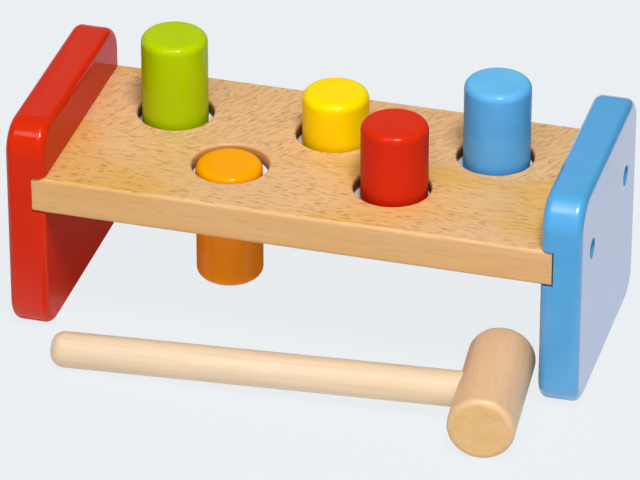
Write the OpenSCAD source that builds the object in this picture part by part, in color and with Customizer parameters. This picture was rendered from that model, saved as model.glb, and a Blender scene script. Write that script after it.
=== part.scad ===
// Peg pounding bench with its mallet, in millimetres.
// +X runs along the bench from the red panel to the blue one, +Y to the back
// and +Z up. The origin is on the table, under the middle of the whole set.

/* [Board] */
// distance between neighbouring holes, along the bench
hole_pitch = 30.9; // [30:0.1:40]
// from the outermost holes to the inner faces of the panels
end_space = 31.8; // [26:0.1:45]
// distance between the front and the back row of holes
row_gap = 32.3; // [29:0.1:40]
// from the front row of holes to the board's front edge
front_space = 30.2; // [24:0.1:40]
// from the back row of holes to the board's back edge
back_space = 28.9; // [24:0.1:40]
// thickness of the board
board_t = 14.2; // [12:0.1:20]
// height of the board's top face above the table
board_top = 66.6; // [60:0.1:90]
// rounding of the board's long edges
board_edge_r = 1.5; // [0.5:0.1:3]
// gap all round between a hole and a peg in its middle
hole_gap = 1.9; // [1:0.1:3]
// rounding of the holes' rims
hole_rim_r = 1; // [0.4:0.1:2]

/* [End panels] */
// thickness of a panel
panel_t = 15.1; // [13:0.1:22]
// how far a panel rises above the board
panel_rise = 20; // [15:0.5:35]
// how far a panel stands out past the board's front and back edges
panel_reveal = 0.5; // [0:0.1:6]
// radius of a panel's four corners
panel_corner_r = 12; // [7:0.5:20]
// rounding of a panel's edges
panel_edge_r = 3.2; // [1:0.1:5]
// depth of the slot that houses the board's end
housing_d = 5; // [3:0.25:6]
// gap round the board's end in its slot
housing_fit = 0.35; // [0.1:0.05:0.8]
// how far the board has slipped towards the red panel, as a share of that gap
board_slip = 0.8; // [0:0.1:0.9]

/* [Screws] */
// from the board's front and back edges to the screws
screw_inset = 18.5; // [12:0.5:20]
// length of a screw under its head
screw_l = 24; // [16:0.5:26]
// diameter of a screw's shank
screw_d = 3.6; // [3:0.1:4.5]
// length of a screw's point
screw_point_l = 4; // [2:0.5:6]
// diameter of a screw's head
screw_head_d = 7; // [6:0.1:7.5]
// height of a screw's head
screw_head_h = 2.6; // [1.8:0.1:3]
// diameter of the flat on top of a screw's head
screw_flat_d = 4.6; // [4:0.1:5.5]
// height of the straight side of a screw's head
screw_rim_h = 1.3; // [0.8:0.1:1.6]
// width of the cross recess in a screw's head
recess_w = 1.1; // [0.8:0.1:1.4]
// span of the cross recess
recess_span = 4; // [3:0.1:5]
// depth of the cross recess
recess_d = 1.4; // [0.8:0.1:1.6]
// diameter of the sunk hole for a screw's head
sink_d = 8; // [7.8:0.1:10]
// depth of the sunk hole
sink_depth = 6; // [4:0.25:7]
// gap round a screw's shank
screw_fit = 0.1; // [0.05:0.05:0.3]

/* [Pegs] */
// diameter of a peg
peg_d = 25; // [22:0.5:26]
// length of a peg
peg_l = 47; // [40:0.5:56]
// rounding of a peg's ends
peg_edge_r = 3; // [1:0.1:5]
// how far the green peg has been knocked down
green_driven = 0.2; // [0:0.1:20]
// how far the yellow peg has been knocked down
yellow_driven = 14.8; // [0:0.1:20]
// how far the red peg has been knocked down
red_driven = 5.7; // [0:0.1:20]
// how far the blue peg has been knocked down
blue_driven = 1.3; // [0:0.1:20]
// how far the top of the orange peg still stands above the board
orange_proud = 0.4; // [0:0.1:15]
// how far the green peg stands to the right in its hole
green_slip = -0.2; // [-0.8:0.1:0.8]
// how far the orange peg stands to the right in its hole
orange_slip = -0.5; // [-0.8:0.1:0.8]
// how far the yellow peg stands to the right in its hole
yellow_slip = 0.5; // [-0.8:0.1:0.8]
// how far the red peg stands to the right in its hole
red_slip = 0.8; // [-0.8:0.1:0.8]
// how far the blue peg stands to the right in its hole
blue_slip = 0.5; // [-0.8:0.1:0.8]

/* [Grip rings] */
// how deep a ring sits in its groove
ring_seat = 1.3; // [0.8:0.1:2]
// how deep a peg in the middle of its hole presses into its ring
ring_squeeze = 0.8; // [0.4:0.1:1]
// running gap between a ring and its peg
ring_clear = 0.08; // [0.02:0.02:0.1]
// gap round a ring in its groove
ring_fit = 0.05; // [0.02:0.01:0.1]

/* [Mallet] */
// diameter of the head
head_d = 25; // [22:0.5:30]
// length of the head
head_l = 52.5; // [45:0.5:60]
// rounding of the head's ends
head_edge_r = 2.5; // [1:0.1:5]
// diameter of the handle
handle_d = 13.5; // [10:0.1:15]
// length of the handle, with what is inside the head
handle_l = 170.4; // [150:0.1:185]
// rounding of the handle's free end
handle_edge_r = 4.8; // [1:0.1:5]
// depth of the hole in the head
socket_depth = 17; // [12:0.5:20]
// glue gap round the handle in the head
socket_fit = 0.05; // [0.02:0.01:0.2]
// how far the handle leans from square with the head
handle_slant = 3; // [0:0.5:6]
// how far the head is turned from the line across the bench
mallet_turn = 4.9; // [0:0.1:8]
// from the head to the blue panel's inner face
mallet_clear = 1.2; // [1:0.1:20]
// from the panels' front faces to the middle of the head
mallet_out = 12.8; // [12:0.1:40]

/* [Hidden] */
// sides of the round shapes
$fn = 96;
// how far a cutting shape runs past the face that it opens
over = 1;

inner_l = 4*hole_pitch + 2*end_space;
bench_l = inner_l + 2*panel_t;
board_l = inner_l + 2*(housing_d - housing_fit);
board_w = front_space + row_gap + back_space;
board_mid = board_top - board_t/2;
board_shift = board_slip*housing_fit;
panel_d = board_w + 2*panel_reveal;
panel_h = board_top + panel_rise;

peg_r = peg_d/2;
hole_r = peg_r + hole_gap;
ring_in_r = peg_r + ring_clear;
ring_section = ring_seat + hole_gap + ring_squeeze;
ring_mid_r = hole_r + ring_seat - ring_section/2;
groove_r = hole_r + ring_seat + ring_fit;
groove_h = ring_section + 2*ring_fit;
front_row = front_space - board_w/2;
back_row = board_w/2 - back_space;
full_drive = peg_l - board_t;

screw_seat = bench_l/2 - sink_depth;
screw_y = board_w/2 - screw_inset;
pilot_end = screw_seat - screw_l - screw_fit;

head_r = head_d/2;
handle_r = handle_d/2;
handle_reach = handle_l - (socket_depth - head_r);
// the slope at which the free end of the handle meets the table
slope_a = handle_reach - handle_edge_r;
slope_b = handle_r - handle_edge_r;
handle_slope = asin((head_r - handle_edge_r)/norm([slope_a, slope_b])) - atan2(slope_b, slope_a);
// how far the head rolls to bring the handle to that slope
mallet_roll = asin(sin(handle_slope)/cos(handle_slant));
mallet_reach = (head_l/2 - head_edge_r)*cos(mallet_turn)
    + (head_r - head_edge_r)*sin(mallet_turn) + head_edge_r;

// the middle of the bench lies behind the middle of the whole set
bench_y = (mallet_out + mallet_reach)/2;
mallet_pos = [inner_l/2 - mallet_clear - head_r, bench_y - panel_d/2 - mallet_out, head_r];

red_wood = [0.83, 0.18, 0.11];
blue_wood = [0.33, 0.66, 0.87];
green_wood = [0.68, 0.78, 0.08];
orange_wood = [0.95, 0.58, 0.05];
yellow_wood = [1, 0.85, 0.05];
beech = [0.87, 0.71, 0.5];
maple = [0.95, 0.86, 0.71];
white_rubber = [0.95, 0.94, 0.91];
zinc = [0.72, 0.73, 0.75];

// a bar's cross-section with its corners rounded
module rounded_section(w, h, r) {
    square([w, h - 2*r], center = true);
    square([w - 2*r, h], center = true);
    for (x = [-1, 1], y = [-1, 1])
        translate([x*(w/2 - r), y*(h/2 - r)]) circle(r);
}

// half of a turned piece's section, standing on z = 0
module turned_section(l, r, low_r, high_r) {
    translate([0, low_r]) square([r, l - low_r - high_r]);
    if (low_r > 0) rounded_end_section(r, low_r);
    if (high_r > 0) translate([0, l]) mirror([0, 1]) rounded_end_section(r, high_r);
}

// the rounded end of that section
module rounded_end_section(r, end_r) {
    square([r - end_r, end_r]);
    intersection() {
        translate([r - end_r, end_r]) circle(end_r);
        translate([r - end_r, 0]) square(end_r);
    }
}

// where the five holes are, seen from above
function hole_at(column, row) = [column*hole_pitch - board_shift, bench_y + row];

// one hole through the board with its rounded rims and the groove for its ring
module hole_cut() {
    rotate_extrude() {
        translate([0, -board_t/2 - over]) square([hole_r, board_t + 2*over]);
        translate([0, -groove_h/2]) square([groove_r, groove_h]);
        for (side = [0, 1]) mirror([0, side]) difference() {
            translate([0, board_t/2 - hole_rim_r]) square([hole_r + hole_rim_r, hole_rim_r + over]);
            translate([hole_r + hole_rim_r, board_t/2 - hole_rim_r]) circle(hole_rim_r);
        }
    }
}

module bench_board() color(beech)
    difference() {
        translate([-board_shift, bench_y, board_mid]) rotate([90, 0, 90])
            linear_extrude(height = board_l, center = true)
                rounded_section(board_w, board_t, board_edge_r);
        for (c = [-2, 0, 2])
            translate(concat(hole_at(c, back_row), board_mid)) hole_cut();
        for (c = [-1, 1])
            translate(concat(hole_at(c, front_row), board_mid)) hole_cut();
        for (x = [-1, 1], y = [-1, 1])
            translate([x*(pilot_end + board_l/2 + over)/2, bench_y + y*screw_y, board_mid])
                rotate([0, 90, 0])
                    cylinder(d = screw_d + 2*screw_fit, h = board_l/2 + over - pilot_end, center = true);
    }

// from a corner's centre out to the rounded edge of a panel
module panel_rim_section() {
    translate([0, -panel_t/2]) square([panel_corner_r - panel_edge_r, panel_t]);
    translate([0, panel_edge_r - panel_t/2]) square([panel_corner_r, panel_t - 2*panel_edge_r]);
    for (y = [-1, 1])
        translate([panel_corner_r - panel_edge_r, y*(panel_t/2 - panel_edge_r)]) circle(panel_edge_r);
}

// a panel lying flat, before its slot and holes are cut
module panel_blank() {
    core_d = panel_d - 2*panel_corner_r;
    core_h = panel_h - 2*panel_corner_r;
    cube([core_d, core_h, panel_t], center = true);
    for (turn = [0, 180]) rotate([0, 0, turn]) {
        translate([core_d/2, 0, 0]) rotate([90, 0, 0])
            linear_extrude(height = core_h, center = true) panel_rim_section();
        translate([0, core_h/2, 0]) rotate([90, 0, 90])
            linear_extrude(height = core_d, center = true) panel_rim_section();
        translate([core_d/2, core_h/2, 0]) rotate_extrude(angle = 90) panel_rim_section();
        translate([-core_d/2, core_h/2, 0]) rotate([0, 0, 90])
            rotate_extrude(angle = 90) panel_rim_section();
    }
}

// the panel at the +X end of the bench
module end_panel() difference() {
    translate([bench_l/2 - panel_t/2, bench_y, panel_h/2]) rotate([90, 0, 90]) panel_blank();
    translate([inner_l/2 - over, bench_y - panel_d/2 - over, board_top - board_t - housing_fit])
        cube([housing_d + over, panel_d + 2*over, board_t + 2*housing_fit]);
    for (y = [-1, 1]) translate([0, bench_y + y*screw_y, board_mid]) rotate([0, 90, 0]) {
        translate([0, 0, screw_seat]) cylinder(d = sink_d, h = sink_depth + over);
        translate([0, 0, inner_l/2]) cylinder(d = screw_d + 2*screw_fit, h = panel_t - sink_depth + over);
    }
}

module red_end_panel() color(red_wood) mirror([1, 0, 0]) end_panel();
module blue_end_panel() color(blue_wood) end_panel();

// a screw at the +X end, with its head on the floor of the sunk hole
module screw(side) color(zinc)
    translate([screw_seat, bench_y + side*screw_y, board_mid]) rotate([0, 90, 0])
        difference() {
            rotate_extrude() polygon([
                [0, -screw_l], [screw_d/2, screw_point_l - screw_l], [screw_d/2, 0],
                [screw_head_d/2, 0], [screw_head_d/2, screw_rim_h],
                [screw_flat_d/2, screw_head_h], [0, screw_head_h]]);
            for (turn = [0, 90]) rotate([0, 0, turn])
                translate([-recess_span/2, -recess_w/2, screw_head_h - recess_d])
                    cube([recess_span, recess_w, recess_d + over]);
        }

module red_front_screw() mirror([1, 0, 0]) screw(-1);
module red_rear_screw() mirror([1, 0, 0]) screw(1);
module blue_front_screw() screw(-1);
module blue_rear_screw() screw(1);

// a round rubber ring with the dent that its peg presses into it
module grip_ring(column, row, slip) color(white_rubber)
    translate(concat(hole_at(column, row), board_mid)) difference() {
        rotate_extrude() translate([ring_mid_r, 0]) circle(d = ring_section);
        translate([slip, 0, 0]) cylinder(r = ring_in_r, h = groove_h, center = true);
    }

module green_grip_ring() grip_ring(-2, back_row, green_slip);
module orange_grip_ring() grip_ring(-1, front_row, orange_slip);
module yellow_grip_ring() grip_ring(0, back_row, yellow_slip);
module red_grip_ring() grip_ring(1, front_row, red_slip);
module blue_grip_ring() grip_ring(2, back_row, blue_slip);

// a peg whose top stands this far above the board
module peg(column, row, slip, stand)
    translate(concat(hole_at(column, row) + [slip, 0], board_top + stand - peg_l))
        rotate_extrude() turned_section(peg_l, peg_r, peg_edge_r, peg_edge_r);

module green_peg() color(green_wood) peg(-2, back_row, green_slip, full_drive - green_driven);
module orange_peg() color(orange_wood) peg(-1, front_row, orange_slip, orange_proud);
module yellow_peg() color(yellow_wood) peg(0, back_row, yellow_slip, full_drive - yellow_driven);
module red_peg() color(red_wood) peg(1, front_row, red_slip, full_drive - red_driven);
module blue_peg() color(blue_wood) peg(2, back_row, blue_slip, full_drive - blue_driven);

// sets the mallet down with the free end of its handle on the table
module lay_mallet() translate(mallet_pos)
    rotate([0, 0, mallet_turn]) rotate([0, -mallet_roll, 0]) children();

// from the bottom of the hole in the head out along the handle
module along_handle() rotate([0, 0, -handle_slant])
    translate([socket_depth - head_r, 0, 0]) rotate([0, -90, 0]) children();

module mallet_head() color(beech) lay_mallet() difference() {
    translate([0, head_l/2, 0]) rotate([90, 0, 0])
        rotate_extrude() turned_section(head_l, head_r, head_edge_r, head_edge_r);
    along_handle() cylinder(r = handle_r + socket_fit, h = socket_depth + over);
}

module mallet_handle() color(maple) lay_mallet()
    along_handle() rotate_extrude() turned_section(handle_l, handle_r, 0, handle_edge_r);

bench_board();
red_end_panel();
blue_end_panel();
red_front_screw();
red_rear_screw();
blue_front_screw();
blue_rear_screw();
green_grip_ring();
orange_grip_ring();
yellow_grip_ring();
red_grip_ring();
blue_grip_ring();
green_peg();
orange_peg();
yellow_peg();
red_peg();
blue_peg();
mallet_head();
mallet_handle();
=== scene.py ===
import math

import bpy
from mathutils import Matrix, Vector


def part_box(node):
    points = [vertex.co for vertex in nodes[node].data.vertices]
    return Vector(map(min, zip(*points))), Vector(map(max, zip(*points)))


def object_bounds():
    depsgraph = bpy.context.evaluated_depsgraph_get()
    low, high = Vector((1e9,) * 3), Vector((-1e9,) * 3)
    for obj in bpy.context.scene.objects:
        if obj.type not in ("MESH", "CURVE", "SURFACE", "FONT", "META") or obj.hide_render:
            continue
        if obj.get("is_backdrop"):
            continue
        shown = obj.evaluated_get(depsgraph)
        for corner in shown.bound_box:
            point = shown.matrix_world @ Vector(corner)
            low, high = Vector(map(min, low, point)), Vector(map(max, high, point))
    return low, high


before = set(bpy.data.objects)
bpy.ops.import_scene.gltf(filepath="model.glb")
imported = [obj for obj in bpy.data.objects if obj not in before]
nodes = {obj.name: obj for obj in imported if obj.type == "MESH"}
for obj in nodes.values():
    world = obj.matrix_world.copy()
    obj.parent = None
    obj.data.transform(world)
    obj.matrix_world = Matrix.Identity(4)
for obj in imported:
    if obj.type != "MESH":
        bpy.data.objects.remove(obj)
cad_low, cad_high = (Vector(corner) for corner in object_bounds())

# The bench in metres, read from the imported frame

board_low, board_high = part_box("bench_board")
board_middle = (board_low + board_high) / 2
orange_low, orange_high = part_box("orange_peg")
head_low, head_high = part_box("mallet_head")
mallet_place = (head_low + head_high) / 2
mallet_turn = math.radians(4.9)
mallet_roll = math.radians(2.05)
handle_slant = math.radians(3)
mm = 0.001

# The camera, as it stood for the photograph

photo_width = 640
focal_length_px = 5026.2
sensor_width_mm = 36
camera_azimuth = math.radians(15.681)
camera_elevation = math.radians(30.973)
camera_distance = 1.86005
camera_across = 0.00114
camera_up = 0.03159
aim = Vector(((cad_low.x + cad_high.x) / 2, board_middle.y, board_high.z))

pale_paper = "#ECF0F3"


def tint(code):
    """A colour written as on a paint chart, in the linear values that Blender mixes."""
    parts = [int(code[i:i + 2], 16) / 255 for i in (1, 3, 5)]
    linear = [p / 12.92 if p <= 0.04045 else ((p + 0.055) / 1.055) ** 2.4 for p in parts]
    return (*linear, 1.0)


class Wire:
    """One output of a finish's nodes. Arithmetic on it adds Math nodes."""

    def __init__(self, finish, socket):
        self.finish = finish
        self.socket = socket

    def other(self, name):
        """Another output of the same node."""
        return Wire(self.finish, self.socket.node.outputs[name])

    def math(self, operation, first, second=0.0):
        return self.finish.node("ShaderNodeMath", {"operation": operation}, {0: first, 1: second})

    def __add__(self, value):
        return self.math("ADD", self, value)

    def __sub__(self, value):
        return self.math("SUBTRACT", self, value)

    def __mul__(self, value):
        return self.math("MULTIPLY", self, value)

    def __truediv__(self, value):
        return self.math("DIVIDE", self, value)

    def __rsub__(self, value):
        return self.math("SUBTRACT", value, self)

    def __abs__(self):
        return self.math("ABSOLUTE", self)

    __radd__ = __add__
    __rmul__ = __mul__


class Finish:
    """A material, or the world, while its nodes are put together."""

    def __init__(self, name, owner=None):
        self.owner = owner or bpy.data.materials.new(name)
        self.owner.use_nodes = True
        self.tree = self.owner.node_tree
        self.tree.nodes.clear()

    def node(self, kind, settings=None, inputs=None, output=0):
        made = self.tree.nodes.new(kind)
        for name, value in (settings or {}).items():
            setattr(made, name, value)
        for name, value in (inputs or {}).items():
            if isinstance(value, Wire):
                self.tree.links.new(value.socket, made.inputs[name])
            else:
                made.inputs[name].default_value = value
        return Wire(self, made.outputs[output]) if made.outputs else None

    def place(self):
        """Where a point is on its piece, in metres."""
        return self.node("ShaderNodeTexCoord", output="Object")

    def facing(self):
        """Which way a point's surface faces."""
        return self.node("ShaderNodeTexCoord", output="Normal")

    def part(self, vector, axis):
        """One of the three numbers of a place or a direction: 0 for X, 1 for Y, 2 for Z."""
        return self.node("ShaderNodeSeparateXYZ", None, {0: vector}, axis)

    def cells(self, place, size, shift=(0, 0, 0), turn=(0, 0, 0)):
        """The place counted in cells of this size, from a shifted and turned corner."""
        return self.node("ShaderNodeMapping", {"vector_type": "TEXTURE"},
                         {"Vector": place, "Location": shift, "Rotation": turn, "Scale": size})

    def noise(self, place, size, detail=2.0, shift=(0, 0, 0), turn=0.0):
        """Soft random patches of this size, from 0 to 1."""
        cells = self.cells(place, size, shift, (0, 0, turn))
        return self.node("ShaderNodeTexNoise", None, {"Vector": cells, "Scale": 1.0, "Detail": detail})

    def ease(self, value, low, high):
        """0 below low and 1 above high, with a soft step between, or the other way round."""
        return self.node("ShaderNodeMapRange", {"interpolation_type": "SMOOTHSTEP"},
                         {0: value, 1: low, 2: high})

    def blend(self, share, first, second):
        """The first colour where the share is 0 and the second where it is 1."""
        return self.node("ShaderNodeMix", {"data_type": "RGBA"}, {0: share, 6: first, 7: second}, 2)

    def vector(self, operation, first, second, output=0):
        return self.node("ShaderNodeVectorMath", {"operation": operation}, {0: first, 1: second}, output)

    def bump(self, height, depth, normal=None):
        """Fine relief, from 0 to 1 of this depth, over another relief if there is one."""
        inputs = {"Height": height, "Distance": depth, "Strength": 1.0}
        if normal:
            inputs["Normal"] = normal
        return self.node("ShaderNodeBump", None, inputs)

    def surface(self, **inputs):
        """The finished material, with a space for each underscore in an input's name."""
        named = {name.replace("_", " "): value for name, value in inputs.items()}
        shader = self.node("ShaderNodeBsdfPrincipled", None, named)
        self.node("ShaderNodeOutputMaterial", None, {"Surface": shader})
        return self.owner


# Woods

def swayed(wood, place, size, reach):
    """The place with its grain bent a little to and fro."""
    shift = (wood.noise(place, size) - 0.5) * reach
    sway = wood.node("ShaderNodeCombineXYZ", None, {1: shift, 2: shift})
    return wood.vector("ADD", place, sway)


def flecks(wood, place, length, width, share, turn=0.0, shift=(0, 0, 0)):
    """The short dark dashes that rays leave on beech, along X and turned in the board's plane."""
    spot = wood.node("ShaderNodeTexVoronoi", None,
                     {"Vector": wood.cells(place, (length, width, width), shift, (0, 0, turn)),
                      "Scale": 1.0},
                     "Distance")
    chance = wood.node("ShaderNodeSeparateColor", None, {0: spot.other("Color")})
    shown = wood.ease(chance, 1 - share, 1.3 - share)
    reach = 0.22 + 0.2 * chance.other("Green")
    return wood.ease(spot, reach + 0.05, reach - 0.15) * shown


def growth_rings(wood, place, pith, spacing):
    """Fine dark lines where each year's growth ends, round the tree's middle."""
    from_pith = wood.vector("MULTIPLY", wood.vector("SUBTRACT", place, pith), (0, 1, 1))
    count = wood.vector("LENGTH", from_pith, (0, 0, 0), "Value") / spacing
    part = wood.node("ShaderNodeMath", {"operation": "FRACT"}, {0: count})
    return wood.ease(part, 0.25, 0.92) * wood.ease(part, 1.0, 0.92)


def beech_board():
    """Beech with flecks that lie along the front half of the board and lean over its back half."""
    wood = Finish("beech_board")
    lean = math.radians(56)
    place = wood.vector("SUBTRACT", wood.place(), tuple(board_middle))
    grain = swayed(wood, place, (60 * mm, 22 * mm, 22 * mm), 7 * mm)
    facing_up = wood.part(wood.facing(), 2)
    flat = wood.ease(facing_up, 0.7, 0.97)
    patch = wood.noise(place, (34 * mm, 18 * mm, 18 * mm), 1.0, (0.005, 0, 0.03))
    to_back = wood.ease(wood.part(place, 1) + (patch - 0.5) * (30 * mm), -8 * mm, 6 * mm)

    red_end = wood.ease(wood.part(place, 0), -30 * mm, -80 * mm)
    zones = wood.noise(place, (62 * mm, 40 * mm, 40 * mm), 1.5, (0.013, 0.021, 0))
    yellow = wood.ease(zones + red_end * 0.15 - to_back * 0.22, 0.42, 0.64)
    colour = wood.blend(yellow, tint("#EABB84"), tint("#E6B25C"))
    to_blue_end = wood.ease(wood.part(place, 0), -100 * mm, 100 * mm)
    front = wood.blend(to_blue_end, tint("#DAA25C"), tint("#DDAA70"))
    colour = wood.blend(1 - flat, colour, front)
    bands = wood.noise(grain, (150 * mm, 7 * mm, 7 * mm))
    colour = wood.blend(wood.ease(bands, 0.4, 0.7) * 0.3, colour, tint("#EAC292"))
    fibres = wood.noise(grain, (24 * mm, 0.5 * mm, 0.5 * mm), 3.0)
    colour = wood.blend(wood.ease(fibres, 0.46, 0.74) * (0.5 - flat * 0.26), colour, tint("#C8935A"))

    slanted = wood.noise(grain, (5 * mm, 1.2 * mm, 1.2 * mm), 1.0, (0.01, 0, 0), lean)
    along = wood.noise(grain, (5.5 * mm, 1.1 * mm, 1.1 * mm), 1.0, (0, 0.01, 0))
    strokes = wood.ease(slanted, 0.47, 0.62) * to_back + wood.ease(along, 0.52, 0.66) * (1 - to_back)
    colour = wood.blend(strokes * flat * 0.4, colour, tint("#BE8443"))
    lying = flecks(wood, grain, 4.4 * mm, 1.2 * mm, 0.72)
    leaning = flecks(wood, grain, 4.2 * mm, 1.15 * mm, 0.68, lean, (0.01, 0, 0))
    dashes = (lying * (1 - to_back) + leaning * to_back) * flat
    colour = wood.blend(dashes * (0.2 + 0.4 * wood.ease(patch, 0.35, 0.6)), colour, tint("#A2602A"))

    # Painted shade down the hole walls, darker with depth and starting lower in the orange peg's hole,
    # where light gets in; the walls are also rougher and without coat, as raw wood
    half_depth = (board_high.y - board_low.y) / 2
    within = wood.ease(abs(wood.part(place, 1)), half_depth - 1 * mm, half_depth - 4 * mm)
    from_orange = wood.vector("SUBTRACT", place, tuple((orange_low + orange_high) / 2 - board_middle))
    from_orange = wood.vector("MULTIPLY", from_orange, (1, 1, 0))
    away = wood.ease(wood.vector("LENGTH", from_orange, (0, 0, 0), "Value"), 17 * mm, 19 * mm)
    below = wood.ease(wood.part(place, 2) - away * (2.2 * mm), 5.8 * mm, 2 * mm)
    raw_and_shaded_bore = within * below * (1 - flat)
    # Painted shade: the hole walls blend towards a dark brown
    colour = wood.blend(raw_and_shaded_bore * 0.85, colour, tint("#4A1C0A"))

    relief = wood.bump(1 - dashes * 0.4 - strokes * 0.2 - fibres * 0.4, 0.012 * mm)
    return wood.surface(Base_Color=colour, Roughness=0.42 + 0.14 * fibres + 0.4 * raw_and_shaded_bore,
                        Coat_Weight=0.35 - 0.35 * raw_and_shaded_bore, Coat_Roughness=0.2, Normal=relief)


def mallet_grain(wood, turn):
    """Places on the mallet, with the head's axis along Y and the handle's near X."""
    return wood.cells(wood.place(), (1, 1, 1), tuple(mallet_place), (0, -mallet_roll, turn))


def mallet_head_wood():
    wood = Finish("mallet_head_wood")
    own = mallet_grain(wood, mallet_turn)
    straight = wood.cells(own, (1, 1, 1), (0, 0, 0), (0, 0, math.pi / 2))
    grain = swayed(wood, straight, (40 * mm, 9 * mm, 9 * mm), 3 * mm)
    facing = wood.cells(wood.facing(), (1, 1, 1), (0, 0, 0), (0, -mallet_roll, mallet_turn))
    end = wood.ease(abs(wood.part(facing, 1)), 0.8, 0.99)

    bands = wood.noise(grain, (90 * mm, 6 * mm, 6 * mm))
    colour = wood.blend(wood.ease(bands, 0.35, 0.65), tint("#EAC197"), tint("#E7BC8D"))
    blotch = wood.noise(own, (6 * mm, 30 * mm, 4 * mm), 3.0)
    end_colour = wood.blend(wood.ease(blotch, 0.3, 0.72), tint("#E3B472"), tint("#E8BE87"))
    colour = wood.blend(end, colour, end_colour)
    rings = growth_rings(wood, grain, (0, 0.003, -0.004), 2.1 * mm)
    colour = wood.blend(rings * (0.07 + 0.03 * end), colour, tint("#CE9A58"))
    fibres = wood.noise(grain, (22 * mm, 0.6 * mm, 0.6 * mm), 3.0)
    colour = wood.blend(wood.ease(fibres, 0.45, 0.75) * 0.25, colour, tint("#D3A066"))
    dashes = flecks(wood, grain, 3.6 * mm, 1.2 * mm, 0.4)
    colour = wood.blend(dashes * 0.2, colour, tint("#B98A50"))

    relief = wood.bump(1 - dashes * 0.5 - fibres * 0.5, 0.012 * mm)
    return wood.surface(Base_Color=colour, Roughness=0.42 + 0.14 * fibres, Coat_Weight=0.3,
                        Coat_Roughness=0.22, Normal=relief)


def mallet_handle_wood():
    wood = Finish("mallet_handle_wood")
    grain = mallet_grain(wood, mallet_turn - handle_slant)
    drift = wood.noise(grain, (90 * mm, 5 * mm, 5 * mm))
    colour = wood.blend(wood.ease(drift, 0.35, 0.65), tint("#E6CAA6"), tint("#EAD1B2"))
    streaks = wood.noise(grain, (55 * mm, 1.6 * mm, 1.6 * mm))
    colour = wood.blend(wood.ease(streaks, 0.5, 0.75) * 0.4, colour, tint("#DDB27C"))
    fibres = wood.noise(grain, (18 * mm, 0.4 * mm, 0.4 * mm), 3.0)
    colour = wood.blend(wood.ease(fibres, 0.5, 0.8) * 0.25, colour, tint("#D9B482"))

    relief = wood.bump(1 - fibres, 0.012 * mm)
    return wood.surface(Base_Color=colour, Roughness=0.42 + 0.14 * fibres, Coat_Weight=0.3,
                        Coat_Roughness=0.22, Normal=relief)


# Lacquers, rubber and steel

def lacquer(name, colour, deep, grain_cell, coat, face_coat, streaks, sheen=0.0, under_board_bounce=None):
    """Gloss paint on wood: the grain below shows as fine lines and breaks up the shine of the edges.

    The broad faces that look along the bench have a coat of their own.
    """
    paint = Finish(name)
    place = paint.place()
    cloud = paint.noise(place, (14 * mm, 14 * mm, 14 * mm))
    lines = paint.noise(place, grain_cell, 3.0)
    painted_side_shade = 1 - abs(paint.part(paint.facing(), 2))
    # Random cloudy patches of the deeper colour, plus painted shade that darkens the upright sides
    # towards it
    shade = paint.blend(paint.ease(cloud, 0.3, 0.75) * 0.3 + painted_side_shade * 0.5, tint(colour), tint(deep))
    shade = paint.blend(paint.ease(lines, 0.5, 0.8) * 0.25, shade, tint(deep))
    # Painted warm bounce light in the shade under the board: the part below it turns a redder colour
    if under_board_bounce:
        below = paint.ease(paint.part(place, 2), board_high.z, board_low.z)
        shade = paint.blend(below, shade, tint(under_board_bounce))
    broad = abs(paint.part(paint.facing(), 0))
    worn = 1 - paint.ease(lines, 0.4, 0.62) * streaks
    gloss = (1 - broad) * worn * coat + broad * face_coat
    peel = paint.noise(place, (3.2 * mm, 3.2 * mm, 3.2 * mm), 1.0)
    relief = paint.bump(peel, 0.01 * mm, paint.bump(lines, 0.012 * mm))
    return paint.surface(Base_Color=shade, Roughness=0.34 + 0.12 * lines, Specular_IOR_Level=sheen,
                         Coat_Weight=gloss, Coat_Roughness=0.08, Normal=relief)


def white_rubber():
    rubber = Finish("white_rubber")
    grain = rubber.noise(rubber.place(), (0.6 * mm, 0.6 * mm, 0.6 * mm), 2.0)
    colour = rubber.blend(grain, tint("#F8F7F4"), tint("#FDFCFA"))
    return rubber.surface(Base_Color=colour, Roughness=0.45 + 0.15 * grain,
                          Normal=rubber.bump(grain, 0.02 * mm))


def zinc_steel():
    steel = Finish("zinc_steel")
    marks = steel.noise(steel.place(), (0.5 * mm, 0.5 * mm, 0.5 * mm), 3.0)
    colour = steel.blend(marks, tint("#C9CDD2"), tint("#E0E2E4"))
    return steel.surface(Base_Color=colour, Metallic=1.0, Roughness=0.28 + 0.22 * marks,
                         Normal=steel.bump(marks, 0.01 * mm))


panel_grain = (0.8 * mm, 60 * mm, 60 * mm)
peg_grain = (0.5 * mm, 0.5 * mm, 22 * mm)


def peg_lacquer(name, colour, deep, under_board_bounce=None):
    return lacquer(name, colour, deep, peg_grain, coat=0.4, face_coat=0.3, streaks=0.2, under_board_bounce=under_board_bounce)


def dress(finish, *names):
    """Gives the finish to each of these pieces."""
    for name in names:
        piece = nodes[name]
        piece.data.materials.clear()
        piece.data.materials.append(finish)


dress(beech_board(), "bench_board")
dress(lacquer("red_panel_lacquer", "#D82C08", "#CE2404", panel_grain,
              coat=0.9, face_coat=0.45, streaks=0.35), "red_end_panel")
dress(lacquer("blue_panel_lacquer", "#53A8DE", "#459CD6", panel_grain,
              coat=1.0, face_coat=1.0, streaks=0.4, sheen=0.5), "blue_end_panel")
dress(peg_lacquer("green_lacquer", "#B8D000", "#A4C000"), "green_peg")
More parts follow.
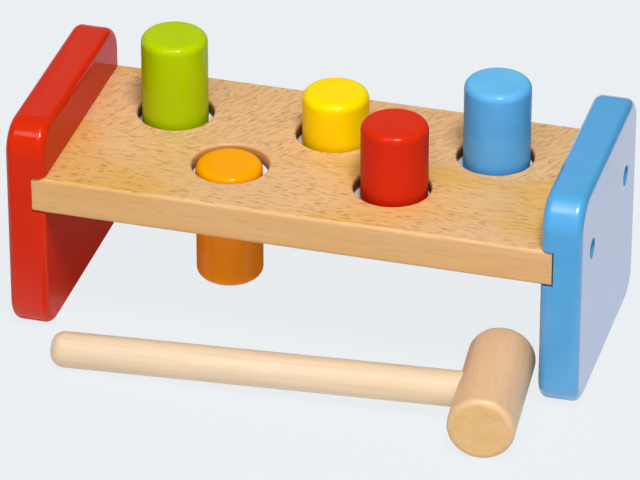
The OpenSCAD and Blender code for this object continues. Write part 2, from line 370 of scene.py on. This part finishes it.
# The orange peg gets painted warm bounce light on its part below the board
dress(peg_lacquer("orange_lacquer", "#FAA600", "#F69A00", under_board_bounce="#FF8E14"), "orange_peg")
dress(peg_lacquer("yellow_lacquer", "#FFE200", "#FFCA00"), "yellow_peg")
dress(peg_lacquer("red_peg_lacquer", "#DA300E", "#CC200A"), "red_peg")
dress(peg_lacquer("blue_peg_lacquer", "#6CBCE8", "#4A99E4"), "blue_peg")
dress(white_rubber(), *(name for name in nodes if name.endswith("_grip_ring")))
dress(zinc_steel(), *(name for name in nodes if name.endswith("_screw")))
dress(mallet_head_wood(), "mallet_head")
dress(mallet_handle_wood(), "mallet_handle")

# The studio: a pale floor, soft lamps and the camera


def pale_floor():
    """Paper that is evenly pale for the camera, with a faint shadow.

    A gloss sees dark cloth past its edges, and a dim floor under the bench.
    """
    half = 4.0
    front_edge = (-0.09, -0.03)
    right_edge = (0.26, 0.2)
    bench_edge = (0.12, 0.09)
    camera_glow = 0.95
    bounce_glow = 0.65
    mesh = bpy.data.meshes.new("pale_floor")
    corners = [(-half, -half, 0), (half, -half, 0), (half, half, 0), (-half, half, 0)]
    mesh.from_pydata(corners, [], [(0, 1, 2, 3)])
    floor = bpy.data.objects.new("pale_floor", mesh)
    bpy.context.scene.collection.objects.link(floor)
    paper = Finish("pale_paper")
    across = paper.part(paper.place(), 0)
    along = paper.part(paper.place(), 1)
    near = paper.ease(along, *front_edge) * paper.ease(across, *right_edge)
    in_gloss = paper.node("ShaderNodeLightPath", output="Is Glossy Ray")
    colour = paper.blend(in_gloss * (1 - near) * 0.8, tint(pale_paper), tint("#202224"))
    lit = paper.node("ShaderNodeBsdfDiffuse", None, {"Color": colour})
    seen = paper.blend(in_gloss, tint(pale_paper), tint("#F6F3FF"))
    glow = paper.node("ShaderNodeEmission", None, {"Color": seen, "Strength": 1.0})
    in_view = in_gloss.other("Is Camera Ray")
    shaded = paper.ease(across, *bench_edge) * paper.ease(along, *bench_edge)
    bounce = in_gloss.other("Is Diffuse Ray") * bounce_glow
    share = in_view * camera_glow + in_gloss * near * (1 - shaded) + bounce
    mixed = paper.node("ShaderNodeMixShader", None, {0: share, 1: lit, 2: glow})
    paper.node("ShaderNodeOutputMaterial", None, {"Surface": mixed})
    mesh.materials.append(paper.owner)
    floor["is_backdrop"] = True


def pale_world():
    """A pale backdrop for the camera and, dimmer, for a gloss, and little light for everything else."""
    fill_strength = 0.07
    gloss_strength = 0.3
    world = bpy.data.worlds.new("pale_world")
    bpy.context.scene.world = world
    air = Finish("pale_world", world)
    fill = air.node("ShaderNodeBackground", None,
                    {"Color": (0.95, 0.97, 1.0, 1.0), "Strength": fill_strength})
    backdrop = air.node("ShaderNodeBackground", None, {"Color": tint(pale_paper), "Strength": 1.0})
    way = air.node("ShaderNodeTexCoord", output="Generated")
    behind = air.ease(air.part(way, 1), 0.1, 0.3) * air.ease(air.part(way, 0), 0.4, 0.3)
    low = air.ease(air.part(way, 2), 0.62, 0.57)
    ray = air.node("ShaderNodeLightPath", output="Is Camera Ray")
    seen = ray + ray.other("Is Glossy Ray") * behind * low * gloss_strength
    mixed = air.node("ShaderNodeMixShader", None, {0: seen, 1: fill, 2: backdrop})
    air.node("ShaderNodeOutputWorld", None, {"Surface": mixed})


def soft_lamp(name, azimuth, elevation, distance, size, watts, in_gloss=True):
    """A square softbox that faces the bench from this side."""
    lamp = bpy.data.lights.new(name, "AREA")
    lamp.shape = "SQUARE"
    lamp.size = size
    lamp.energy = watts
    around = math.radians(azimuth)
    over = math.radians(elevation)
    way = Vector((math.sin(around) * math.cos(over), -math.cos(around) * math.cos(over), math.sin(over)))
    held = bpy.data.objects.new(name, lamp)
    held.visible_glossy = in_gloss
    held.location = aim + way * distance
    held.rotation_euler = way.to_track_quat("Z", "Y").to_euler()
    bpy.context.scene.collection.objects.link(held)


def photo_camera():
    """The camera of the photograph, with the aim a little off the picture's middle."""
    back = Vector((math.sin(camera_azimuth) * math.cos(camera_elevation),
                   -math.cos(camera_azimuth) * math.cos(camera_elevation),
                   math.sin(camera_elevation)))
    right = Vector((math.cos(camera_azimuth), math.sin(camera_azimuth), 0))
    up = back.cross(right)
    eye = aim + back * camera_distance - right * camera_across - up * camera_up
    lens = bpy.data.cameras.new("photo_camera")
    lens.sensor_width = sensor_width_mm
    lens.lens = focal_length_px / photo_width * sensor_width_mm
    camera = bpy.data.objects.new("photo_camera", lens)
    camera.matrix_world = Matrix((right, up, back)).transposed().to_4x4()
    camera.location = eye
    bpy.context.scene.collection.objects.link(camera)
    bpy.context.scene.camera = camera


pale_floor()
pale_world()
soft_lamp("key_lamp", azimuth=28, elevation=61, distance=1.6, size=0.42, watts=19.5)
soft_lamp("wide_lamp", azimuth=5, elevation=66, distance=1.8, size=1.3, watts=6.5)
soft_lamp("left_lamp", azimuth=-25, elevation=57, distance=1.8, size=0.55, watts=2.2)
soft_lamp("front_lamp", azimuth=10, elevation=16, distance=1.8, size=1.0, watts=7.3, in_gloss=False)
soft_lamp("back_lamp", azimuth=205, elevation=14, distance=1.8, size=1.0, watts=5, in_gloss=False)
photo_camera()
bpy.context.scene.view_settings.view_transform = "Standard"
